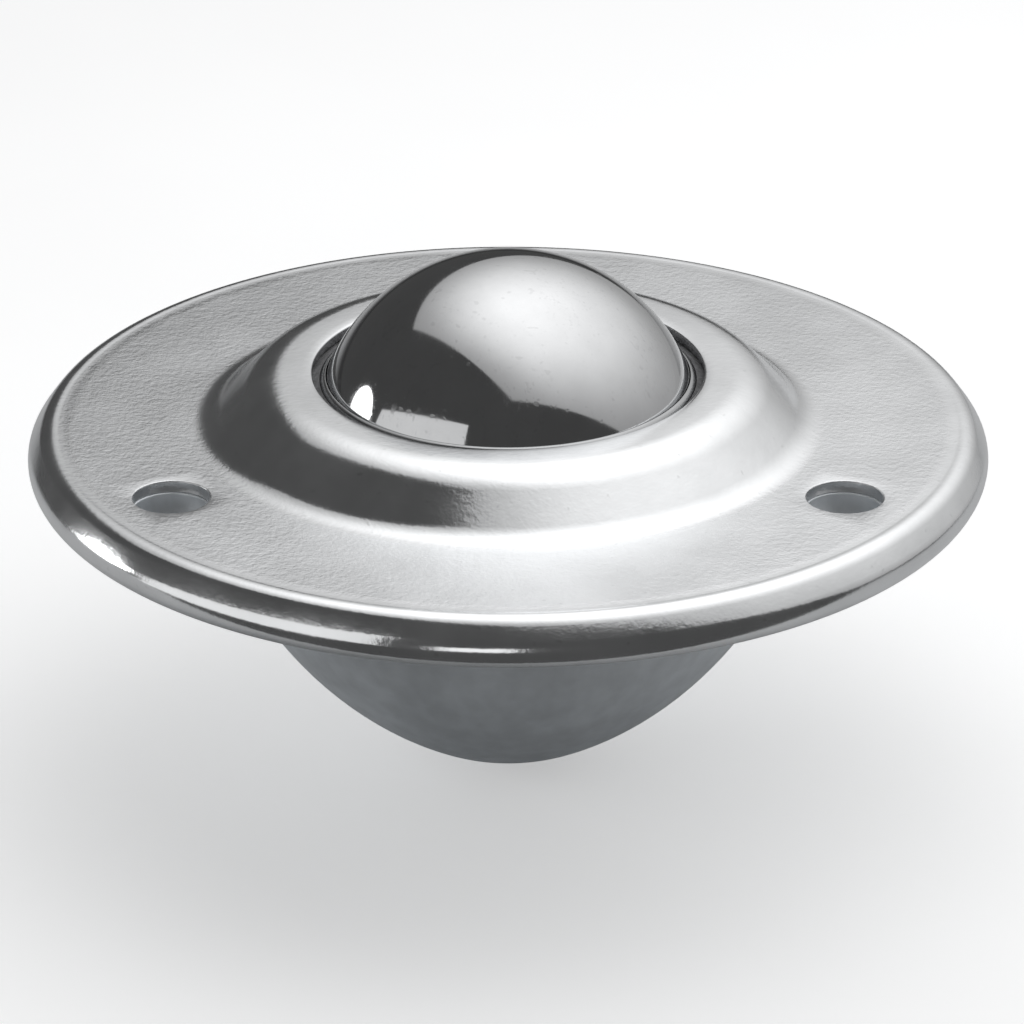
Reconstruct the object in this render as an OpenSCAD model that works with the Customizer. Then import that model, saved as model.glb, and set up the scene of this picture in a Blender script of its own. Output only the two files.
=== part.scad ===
// Flanged ball transfer unit: a load ball rolls any way on a full set of small
// support balls, inside a hardened cup that is held between two steel pressings.
// Origin: on the unit's axis, in the plane of the underside of the body's flange, where
// the fixing holes end. The hem of the rim reaches one sheet lower: it is the seat.
// +Z points out of the load ball's crown.

/* [Load ball] */
// Diameter of the load ball (a 1 inch ball)
ball_d = 25.4; // [24:0.1:27]
// Height of the load ball's centre over the underside of the body's flange
ball_centre_h = 0.7; // [0.4:0.1:1.1]

/* [Support balls] */
// Diameter of a support ball (a 5/32 inch ball)
support_d = 3.97; // [3.7:0.01:4.2]
// Least gap between neighbouring support balls
support_gap = 0.03; // [0.01:0.01:0.08]
// Running clearance of a support ball to the load ball, and to its track
ball_clearance = 0.02; // [0.01:0.01:0.04]
// Depth of the top row's centres below the cup's rim
row_drop = 1.55; // [1.2:0.05:1.8]
// Turn of each row of support balls against the row below it
row_turn = 37; // [0:1:60]

/* [Ball cup] */
// Wall of the hardened cup that carries the support balls
cup_t = 1.1; // [0.9:0.05:1.4]
// Drop of the cup's rim below the top of the body's flange
cup_drop = 0.1; // [0:0.05:0.3]

/* [Lower body] */
// Sheet thickness of the lower body
body_t = 1.65; // [1.2:0.05:2]
// Angle below the ball's centre at which the cup seats in the body
seat_angle = 30; // [25:1:35]
// Gap between the cup and its seat
seat_gap = 0.03; // [0.02:0.01:0.06]
// Distance from the ball's centre to the centre of the body's side curve
side_shift = 7.5; // [6.5:0.1:8.5]
// Radius of the rounded bottom of the body
nose_r = 14.1; // [12.5:0.1:15.5]
// Radius of the bend from the bowl into the flange, on its outer side
bend_r = 1.2; // [0.8:0.1:1.6]

/* [Top cap] */
// Sheet thickness of the top cap
cap_t = 0.8; // [0.6:0.05:1]
// Height of the raised collar over the flat flange
collar_h = 3.55; // [3.4:0.05:4.2]
// Gap between the load ball and the edge of the cap's opening
opening_gap = 1.05; // [0.9:0.05:1.3]
// Radius of the roll at the edge of the opening
lip_r = 3; // [2:0.1:4]
// Angle through which the edge of the opening rolls down
lip_angle = 13; // [8:1:24]
// Slope of the collar's wall
wall_angle = 46.5; // [42:0.5:54]
// Radius of the collar's shoulder
shoulder_r = 3.3; // [2.4:0.1:3.8]
// Radius of the collar's foot, where it runs out into the flange
foot_r = 2.6; // [2:0.1:3]
// Distance from the outside of the cup to the collar's foot
collar_room = 2.59; // [2.35:0.02:2.95]

/* [Flange and rim] */
// Width of the flange, from the collar's foot to the outside of the rim
flange_w = 10.6; // [10:0.1:13]
// Height of the rim's bead over the flat flange
bead_h = 0.03; // [0.01:0.01:0.1]
// Radius of the hollow that runs from the flat flange up to the bead
blend_r = 1.5; // [1:0.1:2]
// Radius of the roll at the top of the rim
rim_top_r = 1.1; // [0.95:0.05:1.3]
// Angle above the horizon that the rim's skirt faces, between its two rolls
skirt_angle = 36; // [30:1:42]
// Length of that skirt, measured down its slope
skirt_w = 0.9; // [0.6:0.05:1.1]
// Width of the hem under the body's flange, inside the rolled edge
hem_w = 1.68; // [1.2:0.02:2]

/* [Fixing holes] */
// Number of fixing holes
hole_count = 3; // [3:1:6]
// Diameter of a fixing hole in the top cap
hole_d = 4.9; // [4:0.1:5.5]
// How much smaller the holes in the lower body are, on diameter
hole_step = 0.1; // [0:0.05:0.3]
// Metal between a fixing hole and the hem
hole_margin = 1.15; // [0.5:0.05:1.4]
// Angle of the first fixing hole round the axis
hole_start = 90; // [0:5:120]

/* [Retaining ring and seal] */
// Sheet thickness of the retaining ring
ring_t = 0.2; // [0.15:0.05:0.3]
// Running clearance of the retaining ring to the load ball
ring_clearance = 0.06; // [0.03:0.01:0.1]
// Width of the thin edge at the top of the retaining ring's lip
ring_edge = 0.1; // [0.06:0.02:0.16]
// How far the ring's lip stays below the collar's top
ring_drop = 0.35; // [0.2:0.05:0.5]
// Width of the flat foot that lies on the cup's rim
ring_foot_w = 2.3; // [2:0.05:2.5]
// Angle of the bevel behind that thin edge
ring_bevel = 45; // [30:5:60]
// How far the felt seal stays below the ring's lip
felt_drop = 0.1; // [0.05:0.05:0.3]
// Gap left between pieces that are stacked in the collar
stack_gap = 0.05; // [0.02:0.01:0.1]

/* [Hidden] */

// Steps of a revolved solid, and how far a drawn arc's chords may leave the true arc
turn_fn = 144;
arc_sag = 0.006;
// A length that reaches past every part of the unit
far = 100;

ball_r = ball_d / 2;
support_r = support_d / 2;
ball_centre = [0, ball_centre_h];

// Sphere of the support balls' centres, their track, and the cup's outside
row_r = ball_r + ball_clearance + support_r;
track_r = row_r + support_r + ball_clearance;
cup_r = track_r + cup_t;

// Heights of the seat, and of the stacked sheets at the flange
seat_z = -cap_t;
flange_mid = body_t;
flange_top = flange_mid + cap_t;
collar_top = flange_top + collar_h;
cup_rim = flange_mid - cup_drop;

// Rows of support balls: the top row lies under the cup's rim, and each row below it
// is one pitch further down the track
row_count = 6;
ball_pitch = support_d + support_gap;
row_pitch = 2 * asin(ball_pitch / 2 / row_r);
top_row_angle = acos((ball_centre_h + row_drop - cup_rim) / row_r);
top_row = ball_centre + row_r * [sin(top_row_angle), -cos(top_row_angle)];

// Top cap: opening, land, shoulder, wall, foot, flange, bead, skirt, lower roll and hem
opening_z = collar_top - lip_r * (1 - cos(lip_angle));
opening_r = height_to_radius(opening_z - ball_centre_h) + opening_gap;
lip_end_r = opening_r + lip_r * sin(lip_angle);
foot_end_r = cup_r + collar_room;
fillets = shoulder_r + foot_r;
wall_length = (collar_h - fillets * (1 - cos(wall_angle))) / sin(wall_angle);
shoulder_start_r = foot_end_r - fillets * sin(wall_angle) - wall_length * cos(wall_angle);
flange_r = foot_end_r + flange_w;
rim_h = flange_top + bead_h - seat_z;
rim_r = (rim_h - skirt_w * cos(skirt_angle) - rim_top_r * (1 - sin(skirt_angle)))
    / (1 + sin(skirt_angle));
rim_centre = [flange_r - rim_r, seat_z + rim_r];
rim_top = rim_centre + (rim_r - rim_top_r) * [cos(skirt_angle), sin(skirt_angle)]
    + skirt_w * [-sin(skirt_angle), cos(skirt_angle)];
bead_angle = acos(1 - bead_h / (blend_r + rim_top_r));
blend_start_r = rim_top.x - (blend_r + rim_top_r) * sin(bead_angle);
hem_r = rim_centre.x - hem_w;
hole_circle_r = hem_r - hole_margin - hole_d / 2;

// Lower body: bend, side curve and rounded bottom, each tangent to the next
side_centre = ball_centre + side_shift * [-cos(seat_angle), sin(seat_angle)];
side_r = cup_r + side_shift + seat_gap + body_t;
nose_centre = [0, side_centre.y - sqrt(pow(side_r - nose_r, 2) - pow(side_centre.x, 2))];
nose_angle = atan2(side_centre.y - nose_centre.y, -side_centre.x);
bend_reach = sqrt(pow(side_r + bend_r, 2) - pow(side_centre.y + bend_r, 2));
bend_centre = [side_centre.x + bend_reach, -bend_r];
bend_angle = atan2(side_centre.y + bend_r, bend_reach);
body_edge_r = rim_top.x;

// Retaining ring: a lip round the ball, a cone over the top row, a foot on the cup
ring_r = ball_r + ring_clearance;
lip_top = collar_top - ring_drop;
foot_top = cup_rim + ring_t;
foot_out_r = foot_end_r - stack_gap
    - sqrt(pow(foot_r + cap_t, 2) - pow(flange_top + foot_r - foot_top, 2));
foot_in = [foot_out_r - ring_foot_w, cup_rim];
to_row = foot_in - top_row;
row_clear_r = support_r + ball_clearance + ring_clearance / 2;
least_cone_angle = 18;
over_row_angle = asin(row_clear_r / norm(to_row)) - atan2(to_row.y, to_row.x);
cone_angle = max(least_cone_angle, over_row_angle);
cone_top_r = foot_in.x - ring_t * tan(cone_angle / 2);
lip_low = foot_in.y + (foot_in.x - ring_r) * tan(cone_angle) + ring_t / 2;

// Felt seal: it fills the collar from the ring's lip to the start of the shoulder
felt_r = ring_r + ring_t + stack_gap;
felt_top = collar_top - cap_t - stack_gap;
felt_tip = [height_to_radius(lip_top - felt_drop - ball_centre_h), lip_top - felt_drop];
opening_under = [lip_end_r, collar_top - lip_r]
    + (lip_r - cap_t) * [-sin(lip_angle), cos(lip_angle)];

// Radius of the load ball at a height over its centre
function height_to_radius(h) = sqrt(pow(ball_r, 2) - pow(h, 2));

// Points along an arc, from one angle to another; no turn gives one point
function arc(centre, r, from, to) =
    let (steps = from == to ? 0 : ceil(abs(to - from) / 2 / acos(1 - arc_sag / r)))
    [for (i = [0 : steps])
        let (a = from + (steps == 0 ? 0 : (to - from) * i / steps))
        centre + r * [cos(a), sin(a)]];

// One face of a pressed sheet. Each bend is [centre, radius, side, from, to], where
// side is 1 if the sheet lies outside its radius and -1 if it lies inside.
function sheet_face(bends, depth) =
    [for (b = bends) each arc(b[0], b[1] + b[2] * depth, b[3], b[4])];

// Height of the retaining ring's upper side at a radius on its cone
function cone_top(r) = foot_top + (cone_top_r - r) * tan(cone_angle);

function reversed(points) = [for (i = [len(points) - 1 : -1 : 0]) points[i]];

// A half section of a sheet of even thickness, from the bends of its first face
module sheet_section(bends, thickness) {
    polygon(concat(sheet_face(bends, 0), reversed(sheet_face(bends, thickness))));
}

// A half disc about the ball's centre, on the outer side of the axis
module centred_disc(r) {
    intersection() {
        translate(ball_centre) circle(r, $fn = turn_fn);
        translate([0, -far]) square([far, 2 * far]);
    }
}

module fixing_holes(d) {
    for (i = [0 : hole_count - 1])
        rotate(hole_start + i * 360 / hole_count)
            translate([hole_circle_r, 0, -far / 2])
                cylinder(h = far, d = d, $fn = 48);
}

// Upper pressing: collar round the ball, flat flange, and a rolled and hemmed rim
module top_cap() {
    bends = [
        [[lip_end_r, collar_top - lip_r], lip_r, -1, 90 + lip_angle, 90],
        [[shoulder_start_r, collar_top - shoulder_r], shoulder_r, -1, 90, 90 - wall_angle],
        [[foot_end_r, flange_top + foot_r], foot_r, 1, 270 - wall_angle, 270],
        [[blend_start_r, flange_top + blend_r], blend_r, 1, 270, 270 + bead_angle],
        [rim_top, rim_top_r, -1, 90 + bead_angle, skirt_angle],
        [rim_centre, rim_r, -1, skirt_angle, -90],
        [[hem_r, seat_z], 0, 1, 90, 90]
    ];
    color("#cfd3d6")
    difference() {
        rotate_extrude($fn = turn_fn) sheet_section(bends, cap_t);
        fixing_holes(hole_d);
    }
}

// Lower pressing: a bowl with a rounded bottom, and a flange that the cap grips
module lower_body() {
    bends = [
        [[body_edge_r, 0], 0, 1, 90, 90],
        [bend_centre, bend_r, 1, 90, 180 - bend_angle],
        [side_centre, side_r, -1, -bend_angle, -nose_angle],
        [nose_centre, nose_r, -1, -nose_angle, -90]
    ];
    color("#6d7174")
    difference() {
        rotate_extrude($fn = turn_fn) sheet_section(bends, body_t);
        fixing_holes(hole_d - hole_step);
    }
}

// Hardened cup: its inside is the track of the support balls
module ball_cup() {
    color("#8b8f93")
    rotate_extrude($fn = turn_fn)
    intersection() {
        difference() {
            centred_disc(cup_r);
            centred_disc(track_r);
        }
        translate([0, cup_rim - far]) square(far);
    }
}

// Sheet ring that keeps the balls in: its lip follows the load ball up to a thin edge
module retaining_ring() {
    // the cone is drawn on to half the ball's radius, and cut back at the lip
    inner_r = ring_r / 2;
    inner_low = foot_in.y + (foot_in.x - inner_r) * tan(cone_angle);
    edge_r = sqrt(pow(ring_r, 2) - pow(lip_top - ball_centre_h, 2)) + ring_edge;
    color("#b9bdc0")
    rotate_extrude($fn = turn_fn)
    difference() {
        union() {
            intersection() {
                centred_disc(ring_r + ring_t);
                translate([inner_r, lip_low]) square([ring_r, lip_top - lip_low]);
            }
            polygon([
                foot_in,
                [foot_out_r, cup_rim],
                [foot_out_r, foot_top],
                [cone_top_r, foot_top],
                [inner_r, cone_top(inner_r)],
                [inner_r, inner_low]
            ]);
        }
        centred_disc(ring_r);
        translate([edge_r, lip_top]) rotate(-ring_bevel) square(ring_r);
    }
}

// Felt ring in the collar, on the retaining ring's cone and under the cap
module felt_seal() {
    color("#3c3c3e")
    rotate_extrude($fn = turn_fn)
    difference() {
        polygon([
            felt_tip,
            opening_under - [stack_gap, stack_gap],
            [lip_end_r, felt_top],
            [shoulder_start_r, felt_top],
            [shoulder_start_r, cone_top(shoulder_start_r) + stack_gap],
            [felt_tip.x, cone_top(felt_tip.x) + stack_gap]
        ]);
        centred_disc(felt_r);
    }
}

// Load ball
module load_ball() {
    color("#9da1a5")
    translate([0, 0, ball_centre_h]) sphere(d = ball_d, $fn = turn_fn);
}

// One ring of support balls in the track, as many as fit round it, counted from the
// bottom row; a ring too small for two holds a single ball
module support_row(row) {
    angle = top_row_angle - (row_count - row) * row_pitch;
    ring = row_r * sin(angle);
    z = ball_centre_h - row_r * cos(angle);
    count = ring < ball_pitch / 2 ? 1 : floor(180 / asin(ball_pitch / 2 / ring));
    color("#d8dadc")
    for (i = [0 : count - 1])
        rotate(row * row_turn + i * 360 / count)
            translate([ring, 0, z]) sphere(d = support_d, $fn = 32);
}

module support_balls_row_1() { support_row(1); }
module support_balls_row_2() { support_row(2); }
module support_balls_row_3() { support_row(3); }
module support_balls_row_4() { support_row(4); }
module support_balls_row_5() { support_row(5); }
module support_balls_row_6() { support_row(6); }

top_cap();
lower_body();
ball_cup();
retaining_ring();
felt_seal();
load_ball();
support_balls_row_1();
support_balls_row_2();
support_balls_row_3();
support_balls_row_4();
support_balls_row_5();
support_balls_row_6();
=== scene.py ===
"""Flanged ball transfer unit: finishes the packed part and sets it on a studio stage.

Each piece has an operator that models it in the part's own frame, in metres, and gives
it its finish. The origin is on the unit's axis, in the plane of the underside of the
body's flange, and +Z points out of the load ball's crown.
"""

import math

import bmesh
import bpy
from bpy.props import (
    FloatProperty,
    FloatVectorProperty,
    IntProperty,
    PointerProperty,
)
from mathutils import Matrix, Vector


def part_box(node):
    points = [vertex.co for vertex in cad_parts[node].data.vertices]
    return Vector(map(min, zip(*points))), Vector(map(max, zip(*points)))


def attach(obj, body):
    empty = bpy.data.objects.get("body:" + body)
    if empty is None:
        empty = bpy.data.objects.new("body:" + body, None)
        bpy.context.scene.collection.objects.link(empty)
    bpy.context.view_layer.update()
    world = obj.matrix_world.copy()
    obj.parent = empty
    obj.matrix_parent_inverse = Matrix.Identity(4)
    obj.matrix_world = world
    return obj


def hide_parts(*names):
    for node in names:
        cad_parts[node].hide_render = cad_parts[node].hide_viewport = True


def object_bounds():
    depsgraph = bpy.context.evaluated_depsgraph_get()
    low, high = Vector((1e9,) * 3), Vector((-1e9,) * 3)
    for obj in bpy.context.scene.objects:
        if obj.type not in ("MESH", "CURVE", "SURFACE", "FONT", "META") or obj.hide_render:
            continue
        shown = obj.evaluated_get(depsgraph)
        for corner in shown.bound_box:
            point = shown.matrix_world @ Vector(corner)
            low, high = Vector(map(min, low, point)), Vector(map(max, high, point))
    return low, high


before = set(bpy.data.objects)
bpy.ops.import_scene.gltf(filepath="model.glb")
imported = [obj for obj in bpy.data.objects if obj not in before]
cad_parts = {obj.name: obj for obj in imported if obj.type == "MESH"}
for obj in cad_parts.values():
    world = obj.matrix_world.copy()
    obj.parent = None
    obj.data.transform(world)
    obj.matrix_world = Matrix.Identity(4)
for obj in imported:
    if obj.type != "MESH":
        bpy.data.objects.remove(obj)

bl_info = {
    "name": "Ball Transfer Unit",
    "version": (1, 0, 0),
    "blender": (4, 5, 0),
    "location": "3D View > Sidebar > Ball Unit",
    "description": "Models and finishes a flanged ball transfer unit",
    "category": "Object",
}

MM = 0.001
CAD_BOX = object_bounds()
CAP_LOW, CAP_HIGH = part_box("top_cap")
BODY_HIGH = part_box("lower_body")[1]
CUP_LOW, CUP_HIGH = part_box("ball_cup")
RING_LOW, RING_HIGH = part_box("retaining_ring")
FELT_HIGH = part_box("felt_seal")[1]
BALL_LOW, BALL_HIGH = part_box("load_ball")
BALL_CENTRE = Vector((0.0, 0.0, (BALL_LOW.z + BALL_HIGH.z) / 2))
BALL_R = (BALL_HIGH.z - BALL_LOW.z) / 2
SUPPORT_ROWS = [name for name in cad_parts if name.startswith("support_balls_row_")]


# ---------------------------------------------------------------- sizes and colours


def length(name, description, size_mm):
    """A length property, its default given in millimetres."""
    return FloatProperty(
        name=name, description=description, default=size_mm * MM, min=0.0,
        unit="LENGTH", precision=5,
    )


def turn(name, description, degrees):
    """An angle property, its default given in degrees."""
    return FloatProperty(
        name=name, description=description, default=math.radians(degrees),
        unit="ROTATION",
    )


def share(name, description, default):
    """A plain number from 0 to 1."""
    return FloatProperty(
        name=name, description=description, default=default, min=0.0, max=1.0,
        subtype="FACTOR",
    )


def amount(name, description, default):
    """A plain number without a unit."""
    return FloatProperty(name=name, description=description, default=default, min=0.0)


def colour(name, description, default):
    """A linear colour property."""
    return FloatVectorProperty(
        name=name, description=description, default=default, size=3, min=0.0, max=1.0,
        subtype="COLOR",
    )


class MeshSettings(bpy.types.PropertyGroup):
    """How finely the round forms are drawn"""

    turn_steps: IntProperty(
        name="Turn steps", description="Steps of a full turn, a multiple of 12",
        default=240, min=48, step=12,
    )
    arc_sag: length("Arc sag", "How far an arc's chords may leave the arc", 0.004)
    ball_detail: IntProperty(
        name="Ball detail", description="Times the load ball's faces are divided",
        default=7, min=4, max=7,
    )


class CapSizes(bpy.types.PropertyGroup):
    """Sizes of the top cap"""

    lip_r: length("Lip radius", "Radius of the roll at the opening's edge", 3)
    lip_angle: turn("Lip angle", "Angle through which the edge rolls down", 13)
    opening_gap: length("Opening gap", "Gap between the ball and the opening", 1.05)
    wall_angle: turn("Wall slope", "Slope of the collar's wall", 46.5)
    shoulder_r: length("Shoulder radius", "Radius of the collar's shoulder", 3.3)
    foot_r: length("Foot radius", "Radius of the collar's foot", 2.6)
    foot_room: length("Foot room", "From the cup to the collar's foot", 2.59)
    bead_h: length("Bead height", "Height of the rim over the flat flange", 0.03)
    blend_r: length("Bead hollow", "Radius of the hollow beside the bead", 1.5)
    rim_top_r: length("Rim top", "Radius of the roll at the top of the rim", 1.1)
    skirt_angle: turn("Skirt", "Angle above the horizon that the rim's skirt faces", 36)
    skirt_w: length("Skirt length", "Length of that skirt, down its slope", 0.9)
    hem_w: length("Hem width", "Width of the hem under the flange", 1.68)
    edge_r: length("Edge rounding", "Rounding of the cut edges", 0.09)


class BodySizes(bpy.types.PropertyGroup):
    """Sizes of the lower body"""

    sheet: length("Sheet", "Sheet thickness of the lower body", 1.65)
    bend_r: length("Bend radius", "Radius from the bowl into the flange", 1.2)
    seat_angle: turn("Seat angle", "Angle of the cup's seat below its centre", 30)
    side_shift: length("Side shift", "From the ball's centre to the side's centre", 7.5)
    seat_gap: length("Seat gap", "Gap between the cup and its seat", 0.03)
    nose_r: length("Nose radius", "Radius of the rounded bottom", 14.1)
    edge_r: length("Edge rounding", "Rounding of the cut edges", 0.12)


class HoleSizes(bpy.types.PropertyGroup):
    """Fixing holes through the flange"""

    count: IntProperty(name="Holes", description="Number of fixing holes", default=3)
    circle_r: length("Hole circle", "Radius of the hole circle", 24.4)
    cap_r: length("Cap hole", "Radius of a hole in the top cap", 2.45)
    body_r: length("Body hole", "Radius of a hole in the lower body", 2.4)
    start: turn("First hole", "Angle of the first hole round the axis", 90)
    patch: length("Patch", "Half width of the flange's grid round a hole", 3.2)
    patch_rings: IntProperty(
        name="Patch rings", description="Rings of the grid across a hole", default=10
    )


class SealSizes(bpy.types.PropertyGroup):
    """Sizes of the retaining ring and the felt seal"""

    sheet: length("Ring sheet", "Sheet thickness of the retaining ring", 0.2)
    running: length("Running clearance", "Gap between the ring and the ball", 0.06)
    edge_w: length("Lip edge", "Width of the thin edge at the lip's top", 0.1)
    bevel: turn("Lip bevel", "Angle of the bevel behind the lip's edge", 45)
    cone: turn("Cone", "Slope of the ring's cone", 18)
    foot_w: length("Foot width", "Width of the ring's foot on the cup's rim", 2.3)
    felt_gap: length("Felt gap", "Gap round the felt seal", 0.05)


class FinishColours(bpy.types.PropertyGroup):
    """Colours of the finishes"""

    bright_zinc: colour("Bright zinc", "Top cap", (0.86, 0.87, 0.88))
    dull_zinc: colour("Dull zinc", "Lower body", (0.82, 0.85, 0.875))
    polished: colour("Polished steel", "Load ball", (0.61, 0.615, 0.622))
    ring_steel: colour("Ring steel", "Retaining ring", (0.42, 0.425, 0.43))
    felt: colour("Felt", "Felt seal", (0.10, 0.10, 0.104))
    hardened: colour("Hardened steel", "Ball cup", (0.50, 0.51, 0.52))
    support: colour("Support steel", "Support balls", (0.78, 0.785, 0.79))


class StageSettings(bpy.types.PropertyGroup):
    """Camera, floor and lights"""

    elevation: turn("Elevation", "Camera's angle above the horizon", 24.55)
    distance: length("Distance", "From the camera to the point it looks at", 392.0)
    lens: amount("Lens", "Focal length on a 36 mm sensor, in millimetres", 211.9)
    aim_side: length("Aim side", "Point looked at, sideways from the axis", 0.25)
    aim_drop: length("Aim drop", "Point looked at, below the flange", 4.17)
    floor_gap: length("Floor gap", "Gap between the bowl and the floor", 0.6)
    floor: colour("Floor", "Pale floor", (0.86, 0.865, 0.87))
    floor_lift: share("Floor lift", "Light that the floor gives off by itself", 0.40)
    table: colour("Table", "Grey of the floor that the metal mirrors", (0.60, 0.605, 0.61))
    table_front: length("Table front", "From the axis to the table's front edge", 34.0)
    room: share("Room", "Grey of the dark room round the stage", 0.072)
    key: amount("Key light", "Radiance of the large softbox", 1.51)
    side: amount("Side light", "Radiance of the small lamp on the left", 4.0)
    card: amount("Card", "Radiance of the card at the front left", 0.8)
    strip: amount("Strip", "Radiance of the low card in front", 1.0)


GROUPS = {
    "mesh": MeshSettings,
    "cap": CapSizes,
    "body": BodySizes,
    "holes": HoleSizes,
    "seal": SealSizes,
    "colours": FinishColours,
    "stage": StageSettings,
}


class UnitSettings(bpy.types.PropertyGroup):
    """All settings of the ball transfer unit"""

    __annotations__ = {
        name: PointerProperty(type=group) for name, group in GROUPS.items()
    }


# ---------------------------------------------------------------- drawing and turning


class Pen:
    """Draws half a section in the XZ plane as a chain of edges, from one tip."""

    def __init__(self, start, sag):
        self.bm = bmesh.new()
        self.sag = sag
        self.tip = self.bm.verts.new((start[0], 0.0, start[1]))

    def line(self, x, z):
        """Runs straight to a point."""
        made = bmesh.ops.extrude_vert_indiv(self.bm, verts=[self.tip])
        self.tip = made["verts"][0]
        self.tip.co = (x, 0.0, z)
        return self

    def arc(self, centre, angle):
        """Swings round a centre; a positive angle turns from +X towards +Z."""
        middle = Vector((centre[0], 0.0, centre[1]))
        radius = (self.tip.co - middle).length
        step = 2 * math.acos(1 - self.sag / radius)
        swept = bmesh.ops.spin(
            self.bm, geom=[self.tip], cent=middle, axis=(0.0, -1.0, 0.0), angle=angle,
            steps=max(3, math.ceil(abs(angle) / step)), use_merge=False,
        )
        self.tip = [v for v in swept["geom_last"] if isinstance(v, bmesh.types.BMVert)][0]
        return self

    def turned(self, steps):
        """Turns the section all the way round the Z axis, and closes seam and poles."""
        bm = self.bm
        bmesh.ops.spin(
            bm, geom=bm.verts[:] + bm.edges[:], cent=(0.0, 0.0, 0.0),
            axis=(0.0, 0.0, 1.0), angle=2 * math.pi, steps=steps, use_merge=True,
        )
        bmesh.ops.remove_doubles(bm, verts=bm.verts[:], dist=0.001 * MM)
        bmesh.ops.recalc_face_normals(bm, faces=bm.faces[:])
        return bm


def polar(centre, radius, angle):
    """A point in the section, at an angle from +X towards +Z round a centre."""
    return centre[0] + radius * math.cos(angle), centre[1] + radius * math.sin(angle)


def radius_at(height, reach):
    """Radius at a height of a sphere with that reach round the load ball's centre."""
    return math.sqrt(reach ** 2 - (height - BALL_CENTRE.z) ** 2)


def flange_rings(holes):
    """Radii at which the flat flange is divided, so that a hole's grid is square."""
    step = 2 * holes.patch / holes.patch_rings
    return [holes.circle_r - holes.patch + i * step for i in range(holes.patch_rings + 1)]


def open_holes(bm, holes, radius, z):
    """Opens round holes in the flat flange, each in the square grid that is drawn there."""
    half_turn = holes.patch / holes.circle_r
    for i in range(holes.count):
        to_hole = Matrix.Rotation(-holes.start - i * 2 * math.pi / holes.count, 4, "Z")
        grid = []
        for face in bm.faces:
            local = to_hole @ face.calc_center_median()
            if abs(local.z - z) > 0.01 * MM or local.x < 0:
                continue
            out = math.hypot(local.x, local.y) - holes.circle_r
            if abs(out) < holes.patch and abs(math.atan2(local.y, local.x)) < half_turn:
                grid.append(face)
        border = [e for f in grid for e in f.edges if sum(g in grid for g in e.link_faces) == 1]
        bmesh.ops.delete(bm, geom=grid, context="FACES")
        made = bmesh.ops.extrude_edge_only(bm, edges=border)["geom"]
        for vert in [v for v in made if isinstance(v, bmesh.types.BMVert)]:
            local = to_hole @ vert.co
            out = (math.hypot(local.x, local.y) - holes.circle_r) / holes.patch
            across = math.atan2(local.y, local.x) / half_turn
            angle = even_angle(out, across)
            local.x = holes.circle_r + radius * math.cos(angle)
            local.y = radius * math.sin(angle)
            vert.co = to_hole.inverted() @ local
    bmesh.ops.recalc_face_normals(bm, faces=bm.faces[:])


def even_angle(x, y):
    """Angle that spaces points of a square's border evenly round a circle."""
    quarter = math.pi / 4
    if abs(x) > abs(y):
        return quarter * y / x + (0.0 if x > 0 else math.pi)
    return 2 * quarter - quarter * x / y + (0.0 if y > 0 else math.pi)


def thicken(bm, sheet):
    """Gives a surface its sheet thickness, on the side that its normals don't point to."""
    bmesh.ops.solidify(bm, geom=bm.faces[:], thickness=sheet)


def round_edges(bm, width):
    """Rounds every edge that turns by more than 40 degrees."""
    sharp = [e for e in bm.edges if e.is_manifold and e.calc_face_angle() > math.radians(40)]
    bmesh.ops.bevel(
        bm, geom=sharp, offset=width, offset_type="OFFSET", segments=3, profile=0.5,
        affect="EDGES", material=-1, clamp_overlap=True,
    )


def finished(name, bm, material, body, slot, *nodes):
    """Makes a smooth object of a bmesh, and gives it its finish and its place."""
    mesh = bpy.data.meshes.new(name)
    bm.to_mesh(mesh)
    bm.free()
    mesh.shade_smooth()
    mesh.set_sharp_from_angle(angle=math.radians(50))
    mesh.materials.append(material)
    piece = bpy.data.objects.new(name, mesh)
    bpy.context.scene.collection.objects.link(piece)
    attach(piece, body)
    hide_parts(*nodes)
    return piece


# ---------------------------------------------------------------- finishes


def new_finish(name):
    """A material with an empty node tree, its shader and the object's coordinates."""
    material = bpy.data.materials.new(name)
    material.use_nodes = True
    tree = material.node_tree
    shader = tree.nodes["Principled BSDF"]
    place = tree.nodes.new("ShaderNodeTexCoord").outputs["Object"]
    return material, tree, shader, place


def add(tree, kind, inputs, **settings):
    """Adds a node. An input is given by name or number, as a value or as a socket."""
    node = tree.nodes.new("ShaderNode" + kind)
    for name, value in settings.items():
        setattr(node, name, value)
    for socket, value in inputs.items():
        if isinstance(value, bpy.types.NodeSocket):
            tree.links.new(value, node.inputs[socket])
        else:
            node.inputs[socket].default_value = value
    return node


def noise(tree, place, grain_mm, detail=2.0, roughness=0.5, stretch=None, tilt=None):
    """Noise with grains of about that size; stretch and tilt draw it out into lines."""
    if stretch:
        place = add(
            tree, "Mapping", {"Vector": place, "Rotation": tilt, "Scale": stretch}
        ).outputs["Vector"]
    made = add(
        tree, "TexNoise",
        {"Vector": place, "Scale": 1 / (grain_mm * MM), "Detail": detail, "Roughness": roughness},
    )
    return made.outputs["Fac"]


def remap(tree, value, low, high, to_low, to_high, smooth=True):
    """Maps a range of one value on to a range of another."""
    node = add(
        tree, "MapRange",
        {"Value": value, "From Min": low, "From Max": high, "To Min": to_low, "To Max": to_high},
        interpolation_type="SMOOTHSTEP" if smooth else "LINEAR",
    )
    return node.outputs["Result"]


def calc(tree, operation, a, b=0.0):
    """One step of arithmetic."""
    return add(tree, "Math", {0: a, 1: b}, operation=operation).outputs["Value"]


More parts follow.
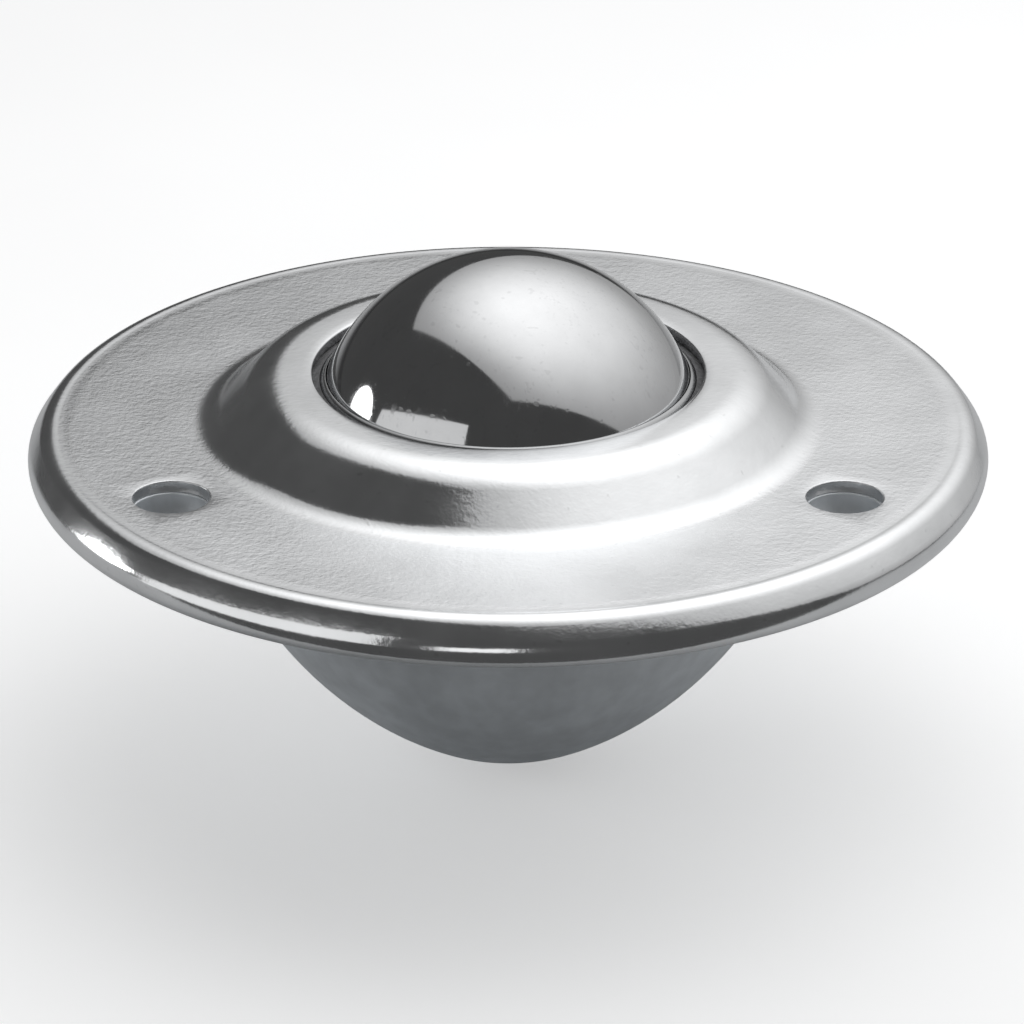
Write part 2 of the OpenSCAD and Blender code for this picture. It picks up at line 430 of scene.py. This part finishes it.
def radius_of(tree, place):
    """Distance from the unit's axis."""
    flat = add(tree, "VectorMath", {0: place, 1: (1.0, 1.0, 0.0)}, operation="MULTIPLY")
    return add(tree, "VectorMath", {0: flat.outputs["Vector"]}, operation="LENGTH").outputs["Value"]


def shaded(tree, base, factor):
    """A colour made lighter or darker by a factor that varies over the surface."""
    node = add(
        tree, "VectorMath", {0: tuple(base), "Scale": factor}, operation="SCALE"
    )
    return node.outputs["Vector"]


def bump(tree, height, depth_mm, normal=None):
    """A bump of that depth, from a height between 0 and 1."""
    inputs = {"Height": height, "Distance": depth_mm * MM, "Strength": 1.0}
    if normal:
        inputs["Normal"] = normal
    return add(tree, "Bump", inputs).outputs["Normal"]


def into(tree, shader, **inputs):
    """Sets or links the shader's sockets, named with _ for a space."""
    for name, value in inputs.items():
        socket = shader.inputs[name.replace("_", " ")]
        if isinstance(value, bpy.types.NodeSocket):
            tree.links.new(value, socket)
        else:
            socket.default_value = value


def bright_zinc(settings):
    """Bright zinc plate: satin and pebbled on the flat flange, glossier on the bends. The flat
    flange's colour is also darkened with painted shade.
    """
    material, tree, shader, place = new_finish("bright_zinc")
    radius = radius_of(tree, place)
    foot_r = CUP_HIGH.x + settings.cap.foot_room
    flat_in = remap(tree, radius, foot_r - 1.2 * MM, foot_r + 0.5 * MM, 0.0, 1.0)
    flat_out = remap(tree, radius, CAP_HIGH.x - 3.0 * MM, CAP_HIGH.x - 2.2 * MM, 1.0, 0.0)
    flat = calc(tree, "MULTIPLY", flat_in, flat_out)
    grain = noise(tree, place, 0.22, detail=2.0)
    pebbles = noise(tree, place, 0.5, detail=2.0)
    clouds = noise(tree, place, 7.0, detail=3.0, roughness=0.6)
    specks = remap(tree, noise(tree, place, 0.5, detail=1.0), 0.70, 0.78, 0.0, 1.0)
    rough_zone = remap(tree, flat, 0.0, 1.0, 0.15, 0.30, smooth=False)
    rough = calc(tree, "ADD", rough_zone, remap(tree, clouds, 0.3, 0.7, -0.02, 0.04))
    tone = remap(tree, clouds, 0.3, 0.7, 0.93, 1.03)
    tone = calc(tree, "SUBTRACT", tone, calc(tree, "MULTIPLY", specks, 0.10))
    # painted shade: the flat flange is coloured darker than the collar and the rim, to stand in for
    # how dim it looks under the lights
    painted_flat_shade = remap(tree, flat, 0.0, 1.0, 1.0, 0.87, smooth=False)
    tone = calc(tree, "MULTIPLY", tone, painted_flat_shade)
    relief = calc(tree, "ADD", calc(tree, "MULTIPLY", grain, 0.6), pebbles)
    height = calc(tree, "MULTIPLY", relief, remap(tree, flat, 0.0, 1.0, 0.25, 1.0, smooth=False))
    into(
        tree, shader, Base_Color=shaded(tree, settings.colours.bright_zinc, tone),
        Metallic=1.0, Roughness=rough, Normal=bump(tree, height, 0.028),
    )
    return material


def dull_zinc(settings):
    """Dull zinc plate of the bowl, cloudy, with faint marks of the drawing die."""
    material, tree, shader, place = new_finish("dull_zinc")
    clouds = noise(tree, place, 6.0, detail=4.0, roughness=0.6)
    grain = noise(tree, place, 0.25, detail=2.0)
    drawn = noise(tree, place, 1.2, detail=2.0, stretch=(1.0, 1.0, 0.12), tilt=(0.0, 0.0, 0.0))
    tone = calc(tree, "MULTIPLY", remap(tree, clouds, 0.3, 0.7, 0.92, 1.06),
                remap(tree, drawn, 0.3, 0.7, 0.97, 1.03))
    relief = calc(tree, "ADD", calc(tree, "MULTIPLY", grain, 0.5), drawn)
    into(
        tree, shader, Base_Color=shaded(tree, settings.colours.dull_zinc, tone),
        Metallic=1.0, Roughness=remap(tree, clouds, 0.3, 0.7, 0.46, 0.56),
        Normal=bump(tree, relief, 0.008),
    )
    return material


def polished_steel(settings):
    """Ground and polished steel of the load ball, with fine rolling scuffs."""
    material, tree, shader, place = new_finish("polished_steel")
    turns = [(0.3, 0.9, 0.2), (1.2, 0.4, 2.0), (2.2, 1.4, 0.7)]
    scuffs = None
    for tilt in turns:
        lines = noise(tree, place, 0.35, detail=1.0, stretch=(1.0, 1.0, 0.05), tilt=tilt)
        lines = remap(tree, lines, 0.64, 0.78, 0.0, 1.0)
        scuffs = lines if scuffs is None else calc(tree, "MAXIMUM", scuffs, lines)
    wear = remap(tree, noise(tree, place, 5.0, detail=3.0), 0.35, 0.65, 0.0, 1.0)
    scuffs = calc(tree, "MULTIPLY", scuffs, wear)
    specks = remap(tree, noise(tree, place, 0.45, detail=0.0), 0.74, 0.80, 0.0, 1.0)
    marks = calc(tree, "MAXIMUM", scuffs, specks)
    haze = noise(tree, place, 3.0, detail=4.0, roughness=0.6)
    tone = calc(tree, "SUBTRACT", remap(tree, haze, 0.3, 0.7, 0.96, 1.02),
                calc(tree, "MULTIPLY", marks, 0.07))
    rough = calc(tree, "ADD", remap(tree, haze, 0.3, 0.7, 0.05, 0.09),
                 calc(tree, "MULTIPLY", marks, 0.07))
    into(
        tree, shader, Base_Color=shaded(tree, settings.colours.polished, tone),
        Metallic=1.0, Roughness=rough, Normal=bump(tree, marks, -0.0008),
    )
    return material


def strip_steel(settings):
    """Thin bright strip steel, with fine lines round the axis."""
    material, tree, shader, place = new_finish("ring_steel")
    lines = noise(tree, place, 0.5, detail=2.0, stretch=(0.2, 0.2, 4.0), tilt=(0.0, 0.0, 0.0))
    into(
        tree, shader,
        Base_Color=shaded(tree, settings.colours.ring_steel, remap(tree, lines, 0.3, 0.7, 0.9, 1.05)),
        Metallic=1.0, Roughness=remap(tree, lines, 0.3, 0.7, 0.18, 0.28),
        Normal=bump(tree, lines, 0.003),
    )
    return material


def felt(settings):
    """Oiled wool felt: dark, matted and soft."""
    material, tree, shader, place = new_finish("felt")
    fibres = noise(tree, place, 0.18, detail=3.0, roughness=0.7)
    tufts = noise(tree, place, 0.7, detail=3.0, roughness=0.6)
    tone = calc(tree, "MULTIPLY", remap(tree, fibres, 0.3, 0.7, 0.6, 1.6),
                remap(tree, tufts, 0.3, 0.7, 0.7, 1.5))
    into(
        tree, shader, Base_Color=shaded(tree, settings.colours.felt, tone),
        Roughness=remap(tree, tufts, 0.3, 0.7, 0.85, 0.95), Sheen_Weight=0.3,
        Normal=bump(tree, fibres, 0.05),
    )
    return material


def bearing_steel(name, base, low, high, grain_mm):
    """Steel of the hidden bearing parts, lightly oiled."""
    material, tree, shader, place = new_finish(name)
    film = noise(tree, place, grain_mm, detail=3.0)
    into(
        tree, shader, Base_Color=shaded(tree, base, remap(tree, film, 0.3, 0.7, 0.9, 1.04)),
        Metallic=1.0, Roughness=remap(tree, film, 0.3, 0.7, low, high),
        Normal=bump(tree, film, 0.002),
    )
    return material


# ---------------------------------------------------------------- operators


class PieceOperator(bpy.types.Operator):
    """Common part of the operators"""

    bl_options = {"REGISTER", "UNDO"}

    @property
    def settings(self):
        """The unit's settings in the current scene."""
        return bpy.context.scene.ball_unit


class BALLUNIT_OT_top_cap(PieceOperator):
    """Upper pressing: collar round the ball, flat flange, rolled and hemmed rim"""

    bl_idname = "ball_unit.top_cap"
    bl_label = "Top Cap"

    def execute(self, context):
        cap, holes, mesh = self.settings.cap, self.settings.holes, self.settings.mesh
        sheet = -CAP_LOW.z
        collar_top = CAP_HIGH.z
        flange_top = BODY_HIGH.z + sheet
        fillets = cap.shoulder_r + cap.foot_r

        lip_z = collar_top - cap.lip_r
        opening_z = lip_z + cap.lip_r * math.cos(cap.lip_angle)
        opening_r = radius_at(opening_z, BALL_R) + cap.opening_gap
        lip_r = opening_r + cap.lip_r * math.sin(cap.lip_angle)
        foot = (CUP_HIGH.x + cap.foot_room, flange_top + cap.foot_r)
        rise = collar_top - flange_top - fillets * (1 - math.cos(cap.wall_angle))
        wall = rise / math.sin(cap.wall_angle)
        reach = fillets * math.sin(cap.wall_angle) + wall * math.cos(cap.wall_angle)
        shoulder = (foot[0] - reach, collar_top - cap.shoulder_r)
        foot_start = polar(foot, cap.foot_r, 1.5 * math.pi - cap.wall_angle)

        skirt, top_r = cap.skirt_angle, cap.rim_top_r
        rim_h = flange_top + cap.bead_h - CAP_LOW.z
        rolled = rim_h - cap.skirt_w * math.cos(skirt) - top_r * (1 - math.sin(skirt))
        rim_r = rolled / (1 + math.sin(skirt))
        rim = (CAP_HIGH.x - rim_r, CAP_LOW.z + rim_r)
        skirt_end = polar(rim, rim_r, skirt)
        skirt_start = polar(skirt_end, cap.skirt_w, skirt + math.pi / 2)
        rim_top = polar(skirt_start, -top_r, skirt)
        bead_turn = math.acos(1 - cap.bead_h / (cap.blend_r + top_r))
        blend = (
            rim_top[0] - (cap.blend_r + top_r) * math.sin(bead_turn), flange_top + cap.blend_r
        )

        pen = Pen((opening_r, opening_z), mesh.arc_sag)
        pen.arc((lip_r, lip_z), -cap.lip_angle)
        pen.line(shoulder[0], collar_top)
        pen.arc(shoulder, -cap.wall_angle)
        pen.line(*foot_start)
        pen.arc(foot, cap.wall_angle)
        for radius in flange_rings(holes):
            pen.line(radius, flange_top)
        pen.line(blend[0], flange_top)
        pen.arc(blend, bead_turn)
        pen.arc(rim_top, skirt - math.pi / 2 - bead_turn)
        pen.line(*skirt_end)
        pen.arc(rim, -math.pi / 2 - skirt)
        pen.line(rim[0] - cap.hem_w, CAP_LOW.z)

        bm = pen.turned(mesh.turn_steps)
        open_holes(bm, holes, holes.cap_r, flange_top)
        thicken(bm, sheet)
        round_edges(bm, cap.edge_r)
        finished("cap_shell", bm, bright_zinc(self.settings), "housing", "bright_zinc", "top_cap")
        return {"FINISHED"}


class BALLUNIT_OT_lower_body(PieceOperator):
    """Lower pressing: a bowl with a rounded bottom, and the flange that the cap grips"""

    bl_idname = "ball_unit.lower_body"
    bl_label = "Lower Body"

    def execute(self, context):
        body, holes, mesh = self.settings.body, self.settings.holes, self.settings.mesh
        shift = Vector((-math.cos(body.seat_angle), math.sin(body.seat_angle))) * body.side_shift
        side = (shift.x, BALL_CENTRE.z + shift.y)
        cup_r = BALL_CENTRE.z - CUP_LOW.z
        side_r = cup_r + body.side_shift + body.seat_gap + body.sheet
        nose = (0.0, side[1] - math.sqrt((side_r - body.nose_r) ** 2 - side[0] ** 2))
        nose_angle = math.atan2(side[1] - nose[1], -side[0])
        reach = math.sqrt((side_r + body.bend_r) ** 2 - (side[1] + body.bend_r) ** 2)
        bend = (side[0] + reach, -body.bend_r)
        bend_angle = math.atan2(side[1] + body.bend_r, reach)

        pen = Pen((BODY_HIGH.x, 0.0), mesh.arc_sag)
        for radius in reversed(flange_rings(holes)):
            pen.line(radius, 0.0)
        pen.line(bend[0], 0.0)
        pen.arc(bend, math.pi / 2 - bend_angle)
        pen.arc(side, bend_angle - nose_angle)
        pen.arc(nose, nose_angle - math.pi / 2)

        bm = pen.turned(mesh.turn_steps)
        open_holes(bm, holes, holes.body_r, 0.0)
        # the bowl is open at the top, so its recalculated faces look into it
        bmesh.ops.reverse_faces(bm, faces=bm.faces[:])
        thicken(bm, body.sheet)
        round_edges(bm, body.edge_r)
        finished("body_shell", bm, dull_zinc(self.settings), "housing", "dull_zinc", "lower_body")
        return {"FINISHED"}


class BALLUNIT_OT_load_ball(PieceOperator):
    """Load ball, ground and polished"""

    bl_idname = "ball_unit.load_ball"
    bl_label = "Load Ball"

    def execute(self, context):
        bm = bmesh.new()
        bmesh.ops.create_icosphere(
            bm, subdivisions=self.settings.mesh.ball_detail, radius=BALL_R,
            matrix=Matrix.Translation(BALL_CENTRE),
        )
        finished(
            "ball", bm, polished_steel(self.settings), "load_ball", "polished_steel", "load_ball"
        )
        return {"FINISHED"}


class BALLUNIT_OT_seal(PieceOperator):
    """Retaining ring and the felt seal behind it"""

    bl_idname = "ball_unit.seal"
    bl_label = "Ring and Felt Seal"

    def execute(self, context):
        seal, mesh = self.settings.seal, self.settings.mesh
        centre = (0.0, BALL_CENTRE.z)
        slope = math.tan(seal.cone)
        ring_r = BALL_R + seal.running
        outer_r = ring_r + seal.sheet
        foot_in = (RING_HIGH.x - seal.foot_w, RING_LOW.z)
        cone_top = (foot_in[0] - seal.sheet * math.tan(seal.cone / 2), foot_in[1] + seal.sheet)

        def meets_cone(reach, start):
            """Angle round the ball's centre at which a sphere meets a line of the cone."""
            to_line = (start[0] * slope + start[1] - centre[1]) * math.cos(seal.cone)
            return math.asin(to_line / reach) - seal.cone

        low = meets_cone(ring_r, foot_in)
        top = math.asin((RING_HIGH.z - centre[1]) / ring_r)
        edge = polar(centre, ring_r, top)[0] + seal.edge_w
        outer_top = self.bevel_end((edge, RING_HIGH.z), outer_r)
        outer_low = meets_cone(outer_r, cone_top)

        pen = Pen(polar(centre, ring_r, low), mesh.arc_sag)
        pen.arc(centre, top - low)
        pen.line(edge, RING_HIGH.z)
        pen.line(*polar(centre, outer_r, outer_top))
        pen.arc(centre, outer_low - outer_top)
        pen.line(*cone_top)
        pen.line(RING_HIGH.x, cone_top[1])
        pen.line(RING_HIGH.x, foot_in[1])
        pen.line(*foot_in)
        pen.line(*polar(centre, ring_r, low))
        bm = pen.turned(mesh.turn_steps)
        finished(
            "ring_shell", bm, strip_steel(self.settings), "housing", "ring_steel", "retaining_ring"
        )

        felt_r = outer_r + seal.felt_gap
        felt_low = (cone_top[0], cone_top[1] + seal.felt_gap)
        bottom = meets_cone(felt_r, felt_low)
        tip = math.asin((FELT_HIGH.z - centre[1]) / felt_r)
        under = CAP_HIGH.z + CAP_LOW.z - seal.felt_gap
        mouth = polar(
            (self.lip_end(), CAP_HIGH.z - self.settings.cap.lip_r),
            self.settings.cap.lip_r + CAP_LOW.z, math.pi / 2 + self.settings.cap.lip_angle,
        )
        pen = Pen(polar(centre, felt_r, bottom), mesh.arc_sag)
        pen.arc(centre, tip - bottom)
        pen.line(mouth[0] - seal.felt_gap, mouth[1] - seal.felt_gap)
        pen.line(self.lip_end(), under)
        pen.line(FELT_HIGH.x, under)
        pen.line(FELT_HIGH.x, felt_low[1] + (felt_low[0] - FELT_HIGH.x) * slope)
        pen.line(*polar(centre, felt_r, bottom))
        bm = pen.turned(mesh.turn_steps)
        finished("felt_ring", bm, felt(self.settings), "housing", "felt", "felt_seal")
        return {"FINISHED"}

    def bevel_end(self, start, reach):
        """Angle round the ball's centre at which the bevel meets the lip's outer side."""
        slope = self.settings.seal.bevel
        along = Vector((math.cos(slope), -math.sin(slope)))
        start = Vector((start[0], start[1] - BALL_CENTRE.z))
        past = start.dot(along)
        end = start + along * (math.sqrt(reach ** 2 - start.length ** 2 + past ** 2) - past)
        return math.atan2(end.y, end.x)

    def lip_end(self):
        """Radius at which the cap's rolled edge runs into its flat top."""
        cap = self.settings.cap
        opening_z = CAP_HIGH.z - cap.lip_r * (1 - math.cos(cap.lip_angle))
        return radius_at(opening_z, BALL_R) + cap.opening_gap + cap.lip_r * math.sin(cap.lip_angle)


class BALLUNIT_OT_bearing(PieceOperator):
    """Ball cup and rows of support balls, inside the housing"""

    bl_idname = "ball_unit.bearing"
    bl_label = "Cup and Support Balls"

    def execute(self, context):
        colours = self.settings.colours
        cup = bearing_steel("hardened_steel", colours.hardened, 0.25, 0.4, 4.0)
        balls = bearing_steel("support_steel", colours.support, 0.05, 0.12, 1.0)
        for node, material in [("ball_cup", cup), *((row, balls) for row in SUPPORT_ROWS)]:
            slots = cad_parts[node].material_slots
            if not slots:
                raise RuntimeError(f"{node} has no material slot")
            slots[0].material = material
        return {"FINISHED"}


class BALLUNIT_OT_stage(PieceOperator):
    """Pale floor, soft lights and the camera"""

    bl_idname = "ball_unit.stage"
    bl_label = "Stage"

    def execute(self, context):
        stage = self.settings.stage
        scene = bpy.context.scene
        scene.view_settings.view_transform = "Standard"
        self.room(scene, stage)
        self.floors(scene, stage)
        self.lights(scene, stage)
        self.camera(scene, stage)
        return {"FINISHED"}

    def room(self, scene, stage):
        """A dark room for the metal to mirror, with a pale wall where the camera sees it."""
        world = bpy.data.worlds.new("room")
        world.use_nodes = True
        tree = world.node_tree
        tree.nodes.clear()
        dark = add(tree, "Background", {"Color": (stage.room, stage.room, stage.room, 1.0)})
        pale = add(tree, "Background", {"Color": (*stage.floor, 1.0)})
        seen = add(tree, "LightPath", {}).outputs["Is Camera Ray"]
        wall = add(tree, "MixShader", {0: seen, 1: dark.outputs[0], 2: pale.outputs[0]})
        add(tree, "OutputWorld", {"Surface": wall.outputs[0]})
        scene.world = world

    def floors(self, scene, stage):
        """The pale floor, and the grey table that the metal mirrors behind its dark edge."""
        top = CAD_BOX[0].z - stage.floor_gap
        spin = bmesh.ops.create_circle
        turned = {"cap_ends": True, "segments": 96, "radius": 4.0}
        floor = self.sheet(scene, "floor", spin, turned, (0.0, 0.0, top), stage.floor)
        floor.visible_glossy = False
        floor.visible_diffuse = False
        self.let_through(floor, stage.floor_lift)
        grid = {"x_segments": 1, "y_segments": 1, "size": 4.0}
        back = 4.0 - stage.table_front
        table = self.sheet(
            scene, "table", bmesh.ops.create_grid, grid, (0.0, back, top - 0.1 * MM), stage.table
        )
        table.visible_camera = False
        table.visible_shadow = False

    def sheet(self, scene, name, shape, arguments, place, base):
        """A flat stage object with a matt finish."""
        bm = bmesh.new()
        shape(bm, matrix=Matrix.Translation(place), **arguments)
        mesh = bpy.data.meshes.new(name)
        bm.to_mesh(mesh)
        bm.free()
        material, tree, shader, coords = new_finish(name)
        tone = remap(tree, noise(tree, coords, 30.0), 0.3, 0.7, 0.99, 1.01)
        into(tree, shader, Base_Color=shaded(tree, base, tone), Roughness=0.9)
        mesh.materials.append(material)
        made = bpy.data.objects.new(name, mesh)
        scene.collection.objects.link(made)
        return made

    def let_through(self, floor, lift):
        """Makes the floor a little brighter, and clear from below so the bowl shows."""
        tree = floor.data.materials[0].node_tree
        shader = tree.nodes["Principled BSDF"]
        shader.inputs["Emission Color"].default_value = (1.0, 1.0, 1.0, 1.0)
        shader.inputs["Emission Strength"].default_value = lift
        below = add(tree, "NewGeometry", {}).outputs["Backfacing"]
        clear = add(tree, "BsdfTransparent", {}).outputs[0]
        both = add(tree, "MixShader", {0: below, 1: shader.outputs[0], 2: clear})
        tree.links.new(both.outputs[0], tree.nodes["Material Output"].inputs["Surface"])

    def lights(self, scene, stage):
        """The softbox overhead, a small lamp on the left, and cards at the front left."""
        near = 0.6
        softbox = self.area_light(
            scene, "softbox", near * Vector((-0.4495, 0.2824, 0.466)),
            near * Vector((0.0284, -0.4875, 0.55)), near * Vector((0.7588, -0.0927, 0.016)),
            stage.key,
        )
        self.fade(softbox)
        foot = CAD_BOX[0].z - stage.floor_gap - BALL_CENTRE.z
        scale = 0.28
        left, right = (-0.9693 * scale, -0.0509 * scale), (-0.2197 * scale, -0.4495 * scale)
        self.area_light(
            scene, "card", (*left, foot), (*right, foot), (*right, 0.31 * scale), stage.card
        )
        self.area_light(
            scene, "strip", (-0.036, -0.14, foot), (0.004, -0.14, foot), (0.004, -0.14, 0.017),
            stage.strip,
        )
        lamp = Vector((-0.9649, 0.2228, 0.1392)) * 0.5
        side = Vector((0.0, 0.0, 1.0)).cross(lamp).normalized() * 0.082
        up = lamp.cross(side).normalized() * 0.082
        disc = self.area_light(
            scene, "lamp", lamp - side - up, lamp + side - up, lamp + side + up, stage.side
        )
        disc.data.shape = "DISK"

    def area_light(self, scene, name, first, second, third, radiance):
        """A rectangular light on three corners, given from the ball's centre in metres."""
        first, second, third = Vector(first), Vector(second), Vector(third)
        across = second - first
        up = third - second
        up -= up.project(across)
        data = bpy.data.lights.new(name, "AREA")
        data.shape = "RECTANGLE"
        data.size = across.length
        data.size_y = up.length
        data.energy = radiance * math.pi * data.size * data.size_y
        turned = (across.normalized(), up.normalized(), across.cross(up).normalized())
        matrix = Matrix(turned).transposed().to_4x4()
        matrix.translation = BALL_CENTRE + first + (across + up) / 2
        light = bpy.data.objects.new(name, data)
        light.matrix_world = matrix
        light.visible_camera = False
        scene.collection.objects.link(light)
        return light

    def fade(self, light):
        """Makes a softbox dimmer towards its edges, as its diffuser is."""
        light.data.use_nodes = True
        tree = light.data.node_tree
        across = add(tree, "NewGeometry", {}).outputs["Parametric"]
        parts = add(tree, "SeparateXYZ", {0: across})
        u, v = parts.outputs["X"], parts.outputs["Y"]
        across = self.spread(tree, u, 0.432, 0.273, 0.348)
        along = self.spread(tree, v, 0.375, 0.235, 0.300)
        hot = calc(tree, "EXPONENT", calc(tree, "MULTIPLY", calc(tree, "ADD", across, along), -1.0))
        level = calc(tree, "ADD", calc(tree, "MULTIPLY", hot, 0.765), 0.235)
        tree.links.new(level, tree.nodes["Emission"].inputs["Strength"])

    def spread(self, tree, value, centre, below, above):
        """Square of the distance from a centre, in widths that differ on its two sides."""
        over = calc(tree, "DIVIDE", calc(tree, "SUBTRACT", value, centre), above)
        under = calc(tree, "DIVIDE", calc(tree, "SUBTRACT", centre, value), below)
        return calc(tree, "POWER", calc(tree, "MAXIMUM", over, under), 2.0)

    def camera(self, scene, stage):
        """Looks down on the unit from the front."""
        data = bpy.data.cameras.new("camera")
        data.lens = stage.lens
        data.clip_start = 0.01
        back = Vector((0.0, -math.cos(stage.elevation), math.sin(stage.elevation)))
        aim = Vector((stage.aim_side, 0.0, -stage.aim_drop))
        camera = bpy.data.objects.new("camera", data)
        camera.location = aim + back * stage.distance
        camera.rotation_euler = (math.pi / 2 - stage.elevation, 0.0, 0.0)
        scene.collection.objects.link(camera)
        scene.camera = camera


OPERATORS = [
    BALLUNIT_OT_top_cap,
    BALLUNIT_OT_lower_body,
    BALLUNIT_OT_load_ball,
    BALLUNIT_OT_seal,
    BALLUNIT_OT_bearing,
    BALLUNIT_OT_stage,
]


class BALLUNIT_PT_panel(bpy.types.Panel):
    """Lists the unit's pieces and settings"""

    bl_idname = "BALLUNIT_PT_panel"
    bl_label = "Ball Transfer Unit"
    bl_space_type = "VIEW_3D"
    bl_region_type = "UI"
    bl_category = "Ball Unit"

    def draw(self, context):
        layout = self.layout
        for operator in OPERATORS:
            layout.operator(operator.bl_idname)
        for name, group in GROUPS.items():
            box = layout.box()
            box.label(text=group.__doc__)
            for prop in group.__annotations__:
                box.prop(getattr(context.scene.ball_unit, name), prop)


CLASSES = [*GROUPS.values(), UnitSettings, *OPERATORS, BALLUNIT_PT_panel]


def register():
    for cls in CLASSES:
        bpy.utils.register_class(cls)
    bpy.types.Scene.ball_unit = PointerProperty(type=UnitSettings)


def unregister():
    del bpy.types.Scene.ball_unit
    for cls in reversed(CLASSES):
        bpy.utils.unregister_class(cls)


def main():
    register()
    for operator in OPERATORS:
        group, name = operator.bl_idname.split(".")
        getattr(getattr(bpy.ops, group), name)()


if __name__ == "__main__":
    main()
